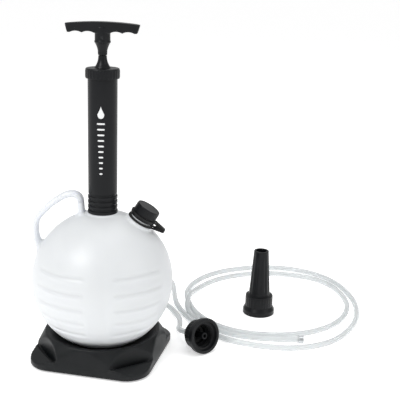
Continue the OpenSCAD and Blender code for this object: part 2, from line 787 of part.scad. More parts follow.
module hose_ferrule() {
    color("silver") translate(hose_end) rotate([0, 90, ferrule_az]) ring(hose_r + ferrule_rim, ferrule_bore_r, ferrule_l);
}

// ---------- Pouring nozzle ----------

module pouring_nozzle() {
    color(black) translate(nozzle_at) difference() {
        union() {
            cylinder(r = nozzle_flange_r, h = nozzle_flange_h - flange_bevel);
            translate([0, 0, nozzle_flange_h - flange_bevel])
                cylinder(r1 = nozzle_flange_r, r2 = nozzle_flange_r - flange_bevel, h = flange_bevel);
            cylinder(r = nozzle_collar_r, h = nozzle_collar_z);
            translate([0, 0, nozzle_collar_z])
                cylinder(r1 = nozzle_collar_r, r2 = cone_r, h = cone_z - nozzle_collar_z);
            translate([0, 0, cone_z]) cylinder(r1 = cone_r, r2 = tip_r, h = nozzle_h - cone_z);
        }
        translate([0, 0, -1]) cylinder(r = thread_r, h = nozzle_bore_l + 1);
        translate([0, 0, nozzle_bore_l - 1]) cylinder(r = chamber_r, h = nozzle_step - nozzle_bore_l + 1);
        translate([0, 0, nozzle_step])
            cylinder(r1 = chamber_r, r2 = tip_bore_r, h = nozzle_h - tip_bore_l - nozzle_step);
        translate([0, 0, nozzle_h - tip_bore_l - 1]) cylinder(r = tip_bore_r, h = tip_bore_l + 2);
    }
}

module nozzle_washer() {
    color(rubber) translate(nozzle_at + [0, 0, nozzle_step - washer_t])
        ring(chamber_r - part_gap, washer_hole_r, washer_t);
}

tank();
stand();
feet();
pump_barrel();
barrel_cap();
rod_bush();
neck_gasket();
foot_valve();
float_cage();
float_ball();
piston_seal();
piston();
piston_valve();
piston_bolt();
plunger_rod();
t_handle();
handle_pin();
leash_neck_ring();
leash_cap_ring();
leash_lower();
leash_upper();
filler_cap();
cap_liner();
hose_adapter();
adapter_washer();
suction_hose();
hose_ferrule();
pouring_nozzle();
nozzle_washer();
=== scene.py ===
"""Hand fluid transfer pump: the looks of its tank, stand, pump, filler cap, hose set and nozzle."""

import math

import bmesh
import bpy
import numpy as np
from mathutils import Matrix, Vector


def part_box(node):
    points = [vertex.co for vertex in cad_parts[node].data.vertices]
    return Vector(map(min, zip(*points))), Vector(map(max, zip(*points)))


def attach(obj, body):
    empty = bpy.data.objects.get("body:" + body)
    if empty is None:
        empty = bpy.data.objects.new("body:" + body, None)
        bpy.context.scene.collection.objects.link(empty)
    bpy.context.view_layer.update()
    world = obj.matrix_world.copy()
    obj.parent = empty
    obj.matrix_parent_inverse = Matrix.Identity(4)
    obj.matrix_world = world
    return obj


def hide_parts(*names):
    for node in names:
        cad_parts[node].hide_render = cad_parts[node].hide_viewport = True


bl_info = {
    "name": "Fluid Transfer Pump",
    "version": (1, 0, 0),
    "blender": (4, 5, 0),
    "location": "3D View > Sidebar > Transfer Pump",
    "description": "Builds a hand fluid transfer pump on a round tank, with its hose set",
    "category": "Add Mesh",
}

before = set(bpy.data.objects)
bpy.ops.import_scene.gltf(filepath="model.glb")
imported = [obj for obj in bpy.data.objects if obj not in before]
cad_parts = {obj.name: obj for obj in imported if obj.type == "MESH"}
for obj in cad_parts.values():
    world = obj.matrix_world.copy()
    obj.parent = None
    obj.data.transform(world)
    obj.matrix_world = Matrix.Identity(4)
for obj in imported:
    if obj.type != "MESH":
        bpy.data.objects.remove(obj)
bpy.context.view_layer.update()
MM = 0.001

# Places that the frame gives
TANK_LOW, TANK_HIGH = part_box("tank")
BARREL_LOW, BARREL_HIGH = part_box("pump_barrel")
HEAD_LOW, HEAD_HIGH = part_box("barrel_cap")
HANDLE_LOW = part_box("t_handle")[0]
NOZZLE_LOW, NOZZLE_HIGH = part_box("pouring_nozzle")
TANK_R = TANK_HIGH.y
TANK_Z = TANK_LOW.z + TANK_R
NECK_TOP = TANK_HIGH.z

# The filler spout's frame starts at the tank's centre, the adapter's at its mouth, and the
# nozzle's on the floor
SPOUT = Matrix.Translation((0, 0, TANK_Z)) @ Matrix.Rotation(math.radians(31), 4, "Y")
ADAPTER_LIFT = math.radians(11)
ADAPTER_TURN = math.radians(-50)
ADAPTER_MOUTH = Vector((177, 2, 31 * math.cos(ADAPTER_LIFT) + 9 * math.sin(ADAPTER_LIFT) + 0.1)) * MM
ADAPTER = (
    Matrix.Translation(ADAPTER_MOUTH)
    @ Matrix.Rotation(ADAPTER_TURN, 4, "Z")
    @ Matrix.Rotation(math.pi / 2 - ADAPTER_LIFT, 4, "Y")
)
NOZZLE = Matrix.Translation(
    ((NOZZLE_LOW.x + NOZZLE_HIGH.x) / 2, (NOZZLE_LOW.y + NOZZLE_HIGH.y) / 2, 0)
)
FERRULE_TURN = math.radians(-3)
FERRULE_AT = Vector((345, 56, 6.8)) * MM
ADAPTER_LENGTH = 46 * MM

# Radii and heights in millimetres that more than one piece shares. The tank's upright parts are
# (radius, foot, top), the first two on the pump's axis and the others on the spout's.
NECK = (19, 180, NECK_TOP / MM)
COLLAR = (26, 230, 251.1)
FILLER_SPOUT = (18, 60, 144)
SPOUT_FLANGE = (22.6, 90, 121)
BARREL_R = 23.65
BARREL_BORE_R = 20.65
BARREL_CAP_R = 27.1
FILLER_CAP_FOOT = 126.8
FILLER_CAP_R = 20.3
LEASH_FOLD_HEIGHT = 127.05
THREAD_R = 20.5
THREAD_RIDGE = 0.9
ADAPTER_BODY_R = 25
NOZZLE_COLLAR_R = 26

# The hose's middle line, in millimetres; where no height is given it lies on the floor
HOSE_LIE = 5.2
HOSE_ROUTE = [
    (136, 52, 17.8), (129, 76, 11.5), (130, 104, 7), (128, 135), (118, 165), (105, 193), (84, 218),
    (52, 236), (15, 243), (-15, 267), (-26, 303), (-14, 341), (15, 366), (50, 372), (84, 356),
    (105, 325), (112, 285), (115, 245), (123, 198), (143, 145), (172, 96), (206, 58), (245, 37),
    (290, 25), (335, 24), (378, 38), (415, 66), (447, 113), (468, 165), (477, 225), (473, 285),
    (455, 347), (421, 394), (375, 422), (325, 431), (270, 423), (220, 401), (180, 366), (153, 322),
    (141, 282), (140, 245), (147, 205), (160, 165), (182, 128), (212, 99), (250, 81), (295, 75),
    (340, 81), (382, 99), (419, 131), (446, 175), (460, 228), (457, 285), (440, 335), (408, 370),
    (365, 388), (320, 394), (270, 386), (225, 364), (190, 334), (165, 298), (152, 265, 8.5),
    (147, 240, 15.2), (143, 212, 15.4), (142, 188, 10.2), (149, 158), (166, 127), (190, 98),
    (222, 75), (262, 62), (305, 58),
]


# ---------- Colours and nodes ----------


def linear(hex_colour):
    """The linear colour that a shader takes, from an sRGB hex value."""
    channels = [int(hex_colour[i : i + 2], 16) / 255 for i in (1, 3, 5)]
    return (
        *(c / 12.92 if c <= 0.04045 else ((c + 0.055) / 1.055) ** 2.4 for c in channels),
        1.0,
    )


def add_node(tree, kind, settings=None, links=None):
    """Adds a node. A setting is a property or an unlinked input, a link an input and its source."""
    node = tree.nodes.new(kind)
    sockets = {}
    for key, value in (settings or {}).items():
        if isinstance(key, str) and key not in node.inputs:
            setattr(node, key, value)
        else:
            sockets[key] = value
    for key, value in sockets.items():
        node.inputs[key].default_value = value
    for key, source in (links or {}).items():
        tree.links.new(source, node.inputs[key])
    return node


def moulded(
    name,
    colour,
    roughness,
    grain=0.5,
    bump=0.02,
    mottle=0.06,
    wear=0.0,
    ior=1.5,
    settings=None,
):
    """A moulded or extruded material: fine grain, slow drift in colour and gloss, paler worn edges.

    grain and bump are in millimetres.
    """
    material = bpy.data.materials.new(name)
    material.use_nodes = True
    tree = material.node_tree
    tree.nodes.clear()
    place = add_node(tree, "ShaderNodeTexCoord")
    fine = add_node(
        tree,
        "ShaderNodeTexNoise",
        {"Scale": 1 / (grain * MM), "Detail": 3.0, "Roughness": 0.6},
        {"Vector": place.outputs["Object"]},
    )
    slow = add_node(
        tree,
        "ShaderNodeTexNoise",
        {"Scale": 28.0, "Detail": 4.0, "Roughness": 0.55},
        {"Vector": place.outputs["Object"]},
    )
    paler = tuple(min(1.0, c * (1 + mottle) + 0.12 * mottle) for c in colour[:3]) + (1.0,)
    darker = tuple(c * (1 - mottle) for c in colour[:3]) + (1.0,)
    drift = add_node(
        tree,
        "ShaderNodeMix",
        {"data_type": "RGBA", 6: darker, 7: paler},
        {0: slow.outputs["Fac"]},
    )
    tint = drift.outputs[2]
    if wear:
        shape = add_node(tree, "ShaderNodeNewGeometry")
        edge = add_node(
            tree,
            "ShaderNodeMapRange",
            {"From Min": 0.52, "From Max": 0.6, "To Min": 0.0, "To Max": wear},
            {"Value": shape.outputs["Pointiness"]},
        )
        rubbed = tuple(min(1.0, c + 0.12) for c in colour[:3]) + (1.0,)
        worn = add_node(
            tree,
            "ShaderNodeMix",
            {"data_type": "RGBA", 7: rubbed},
            {0: edge.outputs["Result"], 6: tint},
        )
        tint = worn.outputs[2]
    gloss = add_node(
        tree,
        "ShaderNodeMapRange",
        {"From Min": 0.3, "From Max": 0.7, "To Min": roughness - 0.04, "To Max": roughness + 0.05},
        {"Value": slow.outputs["Fac"]},
    )
    raised = add_node(
        tree,
        "ShaderNodeBump",
        {"Strength": 1.0, "Distance": bump * MM},
        {"Height": fine.outputs["Fac"]},
    )
    shader = add_node(
        tree,
        "ShaderNodeBsdfPrincipled",
        {"IOR": ior, **(settings or {})},
        {
            "Base Color": tint,
            "Roughness": gloss.outputs["Result"],
            "Normal": raised.outputs["Normal"],
        },
    )
    add_node(tree, "ShaderNodeOutputMaterial", links={"Surface": shader.outputs["BSDF"]})
    return material


def metal(name, colour, roughness, grain=0.3):
    """A turned metal: a fine grain and slow drift in gloss."""
    return moulded(
        name, colour, roughness, grain=grain, bump=0.01, mottle=0.05, settings={"Metallic": 1.0}
    )


MATERIALS = {}


def make_materials(colours):
    """Every finish on the pump, by a short name."""
    MATERIALS.update(
        # Natural HDPE, blow moulded: a milky, waxy white that light soaks into, with a soft sheen
        tank=moulded(
            "natural_hdpe_blow_moulded",
            colours.tank,
            0.4,
            grain=1.2,
            bump=0.03,
            mottle=0.012,
            ior=1.54,
            settings={
                "Subsurface Weight": 0.35,
                "Subsurface Radius": (14 * MM, 14 * MM, 16 * MM),
                "Subsurface Scale": 1.0,
            },
        ),
        # Black ABS, injection moulded with a fine spark-eroded grain: deep black with a satin sheen
        body=moulded(
            "black_abs_injection_moulded", colours.body, 0.34, grain=0.35, bump=0.012, wear=0.1,
            settings={"Specular IOR Level": 0.18},
        ),
        # Black polypropylene, blow moulded: a softer, greyer black with broad dull highlights
        stand=moulded(
            "black_polypropylene_blow_moulded", colours.stand, 0.4, grain=0.6, bump=0.03, wear=0.12,
            settings={"Specular IOR Level": 0.2},
        ),
        # Nitrile rubber, compression moulded: near black and almost without shine
        rubber=moulded(
            "black_nitrile_rubber_moulded", colours.rubber, 0.62, grain=0.4, bump=0.02,
            settings={"Specular IOR Level": 0.3},
        ),
        # Plasticised PVC, extruded: clear with a faint cool cast and a wet gloss
        hose=moulded(
            "clear_pvc_extruded",
            colours.hose,
            0.06,
            grain=6.0,
            bump=0.01,
            mottle=0.01,
            ior=1.4,
            settings={"Transmission Weight": 0.45, "Alpha": 0.8},
        ),
        # Zinc-plated steel, turned: bright blue-white metal with a soft brushed look
        steel=metal("zinc_plated_steel_turned", colours.steel, 0.28),
        # Natural acetal, turned: an opaque ivory white with a silky surface
        acetal=moulded(
            "natural_acetal_turned", linear("#DEDACB"), 0.35, grain=0.4, bump=0.01, mottle=0.02
        ),
        # Yellow polypropylene float, injection moulded
        float=moulded(
            "yellow_polypropylene_moulded", linear("#E3A81C"), 0.4, grain=0.5, bump=0.02, mottle=0.04
        ),
        # Polyethylene foam sheet, die cut: pale grey with cells about half a millimetre across
        foam=moulded(
            "grey_polyethylene_foam_cut", linear("#B4B8BC"), 0.85, grain=0.5, bump=0.15, mottle=0.08
        ),
        # White pad-printing ink: a flat, slightly chalky white film
        ink=moulded(
            "white_pad_printed_ink", linear("#DCDDDD"), 0.55, grain=0.3, bump=0.01, mottle=0.02
        ),
    )


# ---------- Meshes ----------


def link(obj):
    """Puts a new object in the scene."""
    bpy.context.scene.collection.objects.link(obj)
    return obj


def rounded(outline, steps=4):
    """A closed outline of (radius, height, corner radius) in millimetres, its corners rounded."""
    points = []
    count = len(outline)
    for i, (x, y, corner) in enumerate(outline):
        here = np.array((x, y), float)
        back = np.array(outline[i - 1][:2], float) - here
        ahead = np.array(outline[(i + 1) % count][:2], float) - here
        long_back, long_ahead = np.linalg.norm(back), np.linalg.norm(ahead)
        if corner <= 0:
            points.append(here)
            continue
        back, ahead = back / long_back, ahead / long_ahead
        half = math.acos(max(-1.0, min(1.0, float(back @ ahead)))) / 2
        reach = min(corner / max(math.tan(half), 1e-3), 0.4 * long_back, 0.4 * long_ahead)
        points.append(here + back * reach * 1.2)
        for k in range(steps + 1):
            u = k / steps
            points.append(here + back * reach * (1 - u) ** 2 + ahead * reach * u**2)
        points.append(here + ahead * reach * 1.2)
    return points


def revolved(outline, steps=96, place=None, wave=None):
    """Vertices in metres and faces of an outline in millimetres turned about Z.

    wave(angle, radius, height) gives a new radius.
    """
    place = place or Matrix.Identity(4)
    vertices, faces, rings = [], [], []
    for r, z in outline:
        if r < 1e-6:
            rings.append([len(vertices)] * steps)
            vertices.append(place @ Vector((0, 0, z * MM)))
            continue
        rings.append(list(range(len(vertices), len(vertices) + steps)))
        for k in range(steps):
            a = 2 * math.pi * k / steps
            radius = wave(a, r, z) if wave else r
            vertices.append(
                place @ Vector((radius * math.cos(a) * MM, radius * math.sin(a) * MM, z * MM))
            )
    for i, ring in enumerate(rings):
        after = rings[(i + 1) % len(rings)]
        for k in range(steps):
            j = (k + 1) % steps
            face = list(dict.fromkeys((ring[k], ring[j], after[j], after[k])))
            if len(face) > 2:
                faces.append(face)
    return vertices, faces


def rod(radius, foot, top):
    """The outline of a plain upright rod."""
    return [(0, foot), (radius, foot), (radius, top), (0, top)]


def mesh_from(name, *shapes):
    """One mesh from several (vertices, faces), each with its faces turned outwards."""
    mesh = bpy.data.meshes.new(name)
    whole = bmesh.new()
    for vertices, faces in shapes:
        part = bmesh.new()
        made = [part.verts.new(v) for v in vertices]
        for face in faces:
            part.faces.new([made[i] for i in face])
        bmesh.ops.remove_doubles(part, verts=part.verts, dist=1e-6)
        bmesh.ops.recalc_face_normals(part, faces=part.faces)
        holder = bpy.data.meshes.new("holder")
        part.to_mesh(holder)
        part.free()
        whole.from_mesh(holder)
        bpy.data.meshes.remove(holder)
    whole.to_mesh(mesh)
    whole.free()
    return mesh


def piece(name, mesh, material, body, stands_for=()):
    """A finished piece: smooth, with its material, riding on its body."""
    obj = link(bpy.data.objects.new(name, mesh))
    mesh.name = name
    if material is not None:
        mesh.materials.clear()
        mesh.materials.append(material)
    mesh.shade_smooth()
    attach(obj, body)
    if stands_for:
        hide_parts(*stands_for)
    return obj


def applied(obj, name):
    """The mesh that obj's modifiers give, with obj removed."""
    graph = bpy.context.evaluated_depsgraph_get()
    mesh = bpy.data.meshes.new_from_object(obj.evaluated_get(graph))
    mesh.name = name
    bpy.data.objects.remove(obj)
    return mesh


def remeshed(mesh, name, voxel, smoothing=0):
    """A closed, even skin round a mesh, its edges softened."""
    obj = link(bpy.data.objects.new(name, mesh))
    skin = obj.modifiers.new("Skin", "REMESH")
    skin.mode = "VOXEL"
    skin.voxel_size = voxel * MM
    if smoothing:
        soften = obj.modifiers.new("Soften", "SMOOTH")
        soften.factor = 0.5
        soften.iterations = smoothing
    return applied(obj, name)


def softened(node, name, voxel, smoothing):
    """A copy of a CAD node with its edges rounded, as a mould leaves them."""
    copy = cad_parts[node].data.copy()
    shape = bmesh.new()
    shape.from_mesh(copy)
    bmesh.ops.remove_doubles(shape, verts=shape.verts, dist=1e-6)
    shape.to_mesh(copy)
    shape.free()
    return remeshed(copy, name, voxel, smoothing)


def dress(node, material):
    """Gives a CAD node that stays in view its material."""
    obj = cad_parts[node]
    obj.data.materials.clear()
    obj.data.materials.append(material)


# ---------- Geometry Nodes ----------


def node_tree(name, sockets):
    """A Geometry Nodes tree with one geometry in and out and the named inputs."""
    tree = bpy.data.node_groups.new(name, "GeometryNodeTree")
    tree.interface.new_socket("Geometry", in_out="INPUT", socket_type="NodeSocketGeometry")
    for label, kind, value in sockets:
        socket = tree.interface.new_socket(label, in_out="INPUT", socket_type=kind)
        if value is not None:
            socket.default_value = value
    tree.interface.new_socket("Geometry", in_out="OUTPUT", socket_type="NodeSocketGeometry")
    return tree, add_node(tree, "NodeGroupInput")


def close_tree(tree, inputs, geometry):
    """Ends a tree in Realize Instances and Set Material."""
    real = add_node(tree, "GeometryNodeRealizeInstances", links={"Geometry": geometry})
    painted = add_node(
        tree,
        "GeometryNodeSetMaterial",
        links={"Geometry": real.outputs["Geometry"], "Material": inputs.outputs["Material"]},
    )
    add_node(tree, "NodeGroupOutput", links={"Geometry": painted.outputs["Geometry"]})
    return tree


def ring_of_ribs_tree():
    """Repeats one rib, which faces +X, round the Z axis."""
    tree, inputs = node_tree(
        "Ring of ribs",
        [
            ("Count", "NodeSocketInt", 24),
            ("Radius", "NodeSocketFloat", 0.02),
            ("Material", "NodeSocketMaterial", None),
        ],
    )
    circle = add_node(
        tree,
        "GeometryNodeMeshCircle",
        links={"Vertices": inputs.outputs["Count"], "Radius": inputs.outputs["Radius"]},
    )
    index = add_node(tree, "GeometryNodeInputIndex")
    share = add_node(
        tree,
        "ShaderNodeMath",
        {"operation": "DIVIDE"},
        {0: index.outputs["Index"], 1: inputs.outputs["Count"]},
    )
    angle = add_node(
        tree, "ShaderNodeMath", {"operation": "MULTIPLY", 1: 2 * math.pi}, {0: share.outputs[0]}
    )
    euler = add_node(tree, "ShaderNodeCombineXYZ", links={"Z": angle.outputs[0]})
    turn = add_node(
        tree, "FunctionNodeEulerToRotation", links={"Euler": euler.outputs["Vector"]}
    )
    ribs = add_node(
        tree,
        "GeometryNodeInstanceOnPoints",
        links={
            "Points": circle.outputs["Mesh"],
            "Instance": inputs.outputs["Geometry"],
            "Rotation": turn.outputs["Rotation"],
        },
    )
    return close_tree(tree, inputs, ribs.outputs["Instances"])


def thread_tree():
    """A rounded thread ridge that climbs the Z axis."""
    tree, inputs = node_tree(
        "Thread",
        [
            ("Radius", "NodeSocketFloat", 0.02),
            ("Turns", "NodeSocketFloat", 2.5),
            ("Rise", "NodeSocketFloat", 0.01),
            ("Ridge", "NodeSocketFloat", 0.001),
            ("Material", "NodeSocketMaterial", None),
        ],
    )
    spiral = add_node(
        tree,
        "GeometryNodeCurveSpiral",
        {"Resolution": 64},
        {
            "Rotations": inputs.outputs["Turns"],
            "Start Radius": inputs.outputs["Radius"],
            "End Radius": inputs.outputs["Radius"],
            "Height": inputs.outputs["Rise"],
        },
    )
    section = add_node(
        tree,
        "GeometryNodeCurvePrimitiveCircle",
        {"Resolution": 8},
        {"Radius": inputs.outputs["Ridge"]},
    )
    ridge = add_node(
        tree,
        "GeometryNodeCurveToMesh",
        {"Fill Caps": True},
        {"Curve": spiral.outputs["Curve"], "Profile Curve": section.outputs["Curve"]},
    )
    return close_tree(tree, inputs, ridge.outputs["Mesh"])


def grown(tree, name, start, values):
    """The plain mesh that a tree makes from a start mesh and input values."""
    obj = link(bpy.data.objects.new(name, start))
    modifier = obj.modifiers.new("Grow", "NODES")
    modifier.node_group = tree
    for item in tree.interface.items_tree:
        if item.in_out == "INPUT" and item.name in values:
            modifier[item.identifier] = values[item.name]
    return applied(obj, name)


def rib_shape(width, proud, low, high, lean=0.0):
    """One upright rib that faces +X, in millimetres, with rounded sides and ends.

    lean moves its top outwards. The rib's back is sunk a little into what it stands on.
    """
    right = [(0.0, 1.0), (0.55, 0.86), (0.9, 0.45), (1.0, 0.0)]
    section = [(-across, out) for across, out in reversed(right[1:])] + right
    levels = [
        (0.0, 0.0), (0.015, 0.55), (0.05, 0.9), (0.1, 1.0), (0.9, 1.0), (0.95, 0.9), (0.985, 0.55),
        (1.0, 0.0),
    ]
    sunk = 0.3
    vertices, faces = [], []
    for share, full in levels:
        z = low + (high - low) * share
        for across, out in section:
            vertices.append(
                (
                    (proud * out * full + lean * share - sunk) * MM,
                    across * width / 2 * MM,
                    z * MM,
                )
            )
    wide = len(section)
    for i in range(len(levels) - 1):
        for k in range(wide - 1):
            a = i * wide + k
            faces.append((a, a + 1, a + wide + 1, a + wide))
        faces.append((i * wide, (i + 1) * wide, (i + 2) * wide - 1, (i + 1) * wide - 1))
    faces.append(tuple(range(wide - 1, -1, -1)))
    faces.append(tuple(range((len(levels) - 1) * wide, len(levels) * wide)))
    return mesh_from("rib", (vertices, faces))


# ---------- Sizes and colours ----------


class TransferPumpSizes(bpy.types.PropertyGroup):
    """Sizes that belong to the looks, and not to the frame."""

    groove_depth: bpy.props.FloatProperty(
        name="Groove depth", description="Depth of the tank's moulded grooves", default=1.1 * MM,
        min=0.0, max=2 * MM, unit="LENGTH",
    )
    hose_diameter: bpy.props.FloatProperty(
        name="Hose diameter", description="Outer diameter of the suction hose", default=10 * MM,
        min=8 * MM, max=11 * MM, unit="LENGTH",
    )
    hose_bore: bpy.props.FloatProperty(
        name="Hose bore", description="Inner diameter of the suction hose", default=6.4 * MM,
        min=4 * MM, max=8 * MM, unit="LENGTH",
    )
    head_ribs: bpy.props.IntProperty(
        name="Barrel cap ribs", description="Number of grip ribs round the barrel's cap", default=28,
        min=12, max=48,
    )
    cap_ribs: bpy.props.IntProperty(
        name="Filler cap ribs", description="Number of grip ribs round the filler cap", default=36,
        min=12, max=60,
    )
    thread_pitch: bpy.props.FloatProperty(
        name="Thread pitch", description="Pitch of the moulded threads", default=4 * MM,
        min=2 * MM, max=6 * MM, unit="LENGTH",
    )


class TransferPumpColours(bpy.types.PropertyGroup):
    """Colours of the main finishes."""

    tank: bpy.props.FloatVectorProperty(
        name="Tank", description="Colour of the milky tank", subtype="COLOR", size=4,
        default=linear("#DADDE1"), min=0.0, max=1.0,
    )
    body: bpy.props.FloatVectorProperty(
        name="Pump", description="Colour of the pump, caps and nozzle", subtype="COLOR", size=4,
        default=linear("#0A0C0F"), min=0.0, max=1.0,
    )
    stand: bpy.props.FloatVectorProperty(
        name="Stand", description="Colour of the stand", subtype="COLOR", size=4,
        default=linear("#0C0F11"), min=0.0, max=1.0,
    )
    rubber: bpy.props.FloatVectorProperty(
        name="Rubber", description="Colour of the seals, feet and leash", subtype="COLOR", size=4,
        default=linear("#0F1010"), min=0.0, max=1.0,
    )
    hose: bpy.props.FloatVectorProperty(
        name="Hose", description="Cast of the clear hose", subtype="COLOR", size=4,
        default=linear("#F0F3F4"), min=0.0, max=1.0,
    )
    steel: bpy.props.FloatVectorProperty(
        name="Steel", description="Colour of the plated steel", subtype="COLOR", size=4,
        default=linear("#C3C6C8"), min=0.0, max=1.0,
    )


class PumpOperator:
    """What the operators share."""

    bl_options = {"REGISTER", "UNDO"}

    @staticmethod
    def sizes(context):
        return context.scene.transfer_pump_sizes


# ---------- Stage ----------


class PUMP_OT_stage(PumpOperator, bpy.types.Operator):
    """Camera, pale floor and soft studio light"""

    bl_idname = "transfer_pump.stage"
    bl_label = "Stage"

    def execute(self, context):
        lens = bpy.data.cameras.new("camera")
        lens.lens = 73.8
        lens.sensor_width = 36.0
        down, roll = 15.5, 1.8
        camera = link(bpy.data.objects.new("camera", lens))
        camera.matrix_world = (
            Matrix.Translation((0.160, -1.30, 0.637))
            @ Matrix.Rotation(math.radians(90 - down), 4, "X")
            @ Matrix.Rotation(math.radians(roll), 4, "Z")
        )
        context.scene.camera = camera

        # Matt white seamless paper, with a glow that lets it meet the sky without a seam
        paper = moulded(
            "white_seamless_paper", linear("#FAFAFA"), 0.9, grain=2.0, bump=0.0, mottle=0.004,
            settings={"Emission Color": linear("#FFFFFF"), "Emission Strength": 0.42},
        )
        half = 40.0
        floor = link(bpy.data.objects.new("floor", bpy.data.meshes.new("floor")))
        floor.data.from_pydata(
            [(-half, -half, 0), (half, -half, 0), (half, half, 0), (-half, half, 0)],
            [],
            [(0, 1, 2, 3)],
        )
        floor.data.materials.append(paper)

        world = bpy.data.worlds.new("studio")
        world.use_nodes = True
        world.node_tree.nodes.clear()
        sky = add_node(
            world.node_tree,
            "ShaderNodeBackground",
            {"Color": linear("#FFFFFF"), "Strength": 0.6},
        )
        add_node(
            world.node_tree, "ShaderNodeOutputWorld", links={"Surface": sky.outputs["Background"]}
        )
        context.scene.world = world
        context.scene.view_settings.view_transform = "Standard"

        for name, power, size, at, aim in (
            ("key", 28.0, 0.9, (-1.2, -1.3, 1.9), (0.1, 0.0, 0.2)),
            ("fill", 6.0, 1.2, (1.8, -0.8, 1.2), (0.1, 0.1, 0.2)),
            ("top", 12.0, 1.4, (0.3, 0.3, 2.2), (0.1, 0.1, 0.0)),
        ):
            lamp = bpy.data.lights.new(name, "AREA")
            lamp.energy = power
            lamp.size = size
            light = link(bpy.data.objects.new(name, lamp))
            way = Vector(aim) - Vector(at)
            turn = way.to_track_quat("-Z", "Y").to_matrix().to_4x4()
            light.matrix_world = Matrix.Translation(at) @ turn
        return {"FINISHED"}


# ---------- Hose ----------


def smooth_line(points, gap):
    """Points a steady gap apart on the smooth curve through the given ones."""
    p = np.array(points, float)
    ends = np.vstack([2 * p[0] - p[1], p, 2 * p[-1] - p[-2]])
    dense = []
    for i in range(1, len(ends) - 2):
        a, b, c, d = ends[i - 1 : i + 3]
        for t in np.linspace(0, 1, 16, endpoint=False):
            dense.append(
                b + (t * (c - a) + t**2 * (2 * a - 5 * b + 4 * c - d) + t**3 * (3 * b - a - 3 * c + d)) / 2
            )
    dense = np.array([*dense, p[-1]])
    run = np.concatenate([[0], np.cumsum(np.linalg.norm(np.diff(dense, axis=0), axis=1))])
    steps = max(2, round(run[-1] / gap))
    wanted = np.linspace(0, run[-1], steps + 1)
    return np.stack([np.interp(wanted, run, dense[:, k]) for k in range(3)], 1)


def tube(line, outer, inner, sides):
    """A hollow tube along a line, closed by flat rings at its ends."""
    ways = np.gradient(line, axis=0)
    ways /= np.linalg.norm(ways, axis=1)[:, None]
    aside = np.cross((0, 0, 1), ways)
    aside /= np.linalg.norm(aside, axis=1)[:, None]
    up = np.cross(ways, aside)
    angles = 2 * math.pi * np.arange(sides) / sides
    ring = np.cos(angles)[None, :, None] * aside[:, None] + np.sin(angles)[None, :, None] * up[:, None]
    vertices = np.concatenate(
        [(line[:, None] + radius * ring).reshape(-1, 3) for radius in (outer / 2, inner / 2)]
    )
    count = len(line)
    faces = []
    for wall in (0, 1):
        base = wall * count * sides
        for i in range(count - 1):
            for k in range(sides):
                j = (k + 1) % sides
                a, b = base + i * sides, base + (i + 1) * sides
                faces.append((a + k, a + j, b + j, b + k))
    for i in (0, count - 1):
        for k in range(sides):
            j = (k + 1) % sides
            a, b = i * sides, (count + i) * sides
            faces.append((a + k, a + j, b + j, b + k))
    return [tuple(v) for v in vertices], faces


class PUMP_OT_hose(PumpOperator, bpy.types.Operator):
    """Clear suction hose, with the steel ferrule on its free end"""

    bl_idname = "transfer_pump.hose"
    bl_label = "Suction Hose"

    def execute(self, context):
        sizes = self.sizes(context)
        way = ADAPTER.to_3x3() @ Vector((0, 0, 1))
        start = ADAPTER_MOUTH - ADAPTER_LENGTH * way
        middle = [np.array((*p, HOSE_LIE)[:3]) * MM for p in HOSE_ROUTE]
        line = smooth_line([np.array(start), *middle, np.array(FERRULE_AT)], 4 * MM)
        line[:, 2] = np.maximum(line[:, 2], sizes.hose_diameter / 2 + 0.1 * MM)

        ferrule_place = (
            Matrix.Translation(FERRULE_AT)
            @ Matrix.Rotation(FERRULE_TURN, 4, "Z")
            @ Matrix.Rotation(math.pi / 2, 4, "Y")
        )
        turned = rounded(
            [(3.4, 0, 0.2), (5.4, 0, 0.3), (5.4, 0.9, 0.1), (6.5, 0.9, 0.35), (6.5, 9, 0.7), (3.4, 9, 0.8)]
        )
        ferrule = piece(
            "ferrule", mesh_from("ferrule", revolved(turned, 48, ferrule_place)), MATERIALS["steel"],
            "root", ["hose_ferrule"],
        )
        hose = piece(
            "suction_hose_tube",
            mesh_from("hose", tube(line, sizes.hose_diameter, sizes.hose_bore, 20)),
            MATERIALS["hose"], "root", ["suction_hose"],
        )
        return {"FINISHED"}


# ---------- Tank ----------

LOOP_LINE = [
    (-97, 168), (-108, 196), (-111.5, 212), (-111, 226), (-106, 240), (-88, 260), (-67, 275.5),
    (-56, 280), (-47, 280.5), (-40, 277), (-36, 268), (-35, 238),
]
GROOVE_ROWS = (172.0, 147.0, 121.5, 97.0, 74.0)


def blended(a, b, reach):
    """The union of two distance fields, with a fillet where they meet."""
    h = np.maximum(reach - np.abs(a - b), 0) / reach
    return np.minimum(a, b) - h * h * reach / 4


def can(rho, z, radius, low, high, corner):
    """Distance to an upright cylinder with a rounded rim."""
    x = rho - radius + corner
    y = np.abs(z - (low + high) / 2) - (high - low) / 2 + corner
    return np.hypot(np.maximum(x, 0), np.maximum(y, 0)) + np.minimum(np.maximum(x, y), 0) - corner


def loop_distance(p, line):
    """Distance to the carrying loop: a rounded band along a line in the x-z plane."""
    flat = p[:, [0, 2]]
    nearest = np.full(len(p), 1e9)
    for a, b in zip(line[:-1], line[1:]):
        way = b - a
        t = np.clip((flat - a) @ way / (way @ way), 0, 1)
        nearest = np.minimum(nearest, np.linalg.norm(flat - a - t[:, None] * way, axis=1))
    corner, half_thick, half_wide = 3.6, 4.7, 10
    x = nearest - half_thick + corner
    y = np.abs(p[:, 1]) - half_wide + corner
    return np.hypot(np.maximum(x, 0), np.maximum(y, 0)) + np.minimum(np.maximum(x, y), 0) - corner


def step(value, low, high):
    """0 below low, 1 above high and a smooth rise between."""
    t = np.clip((value - low) / (high - low), 0, 1)
    return t * t * (3 - 2 * t)


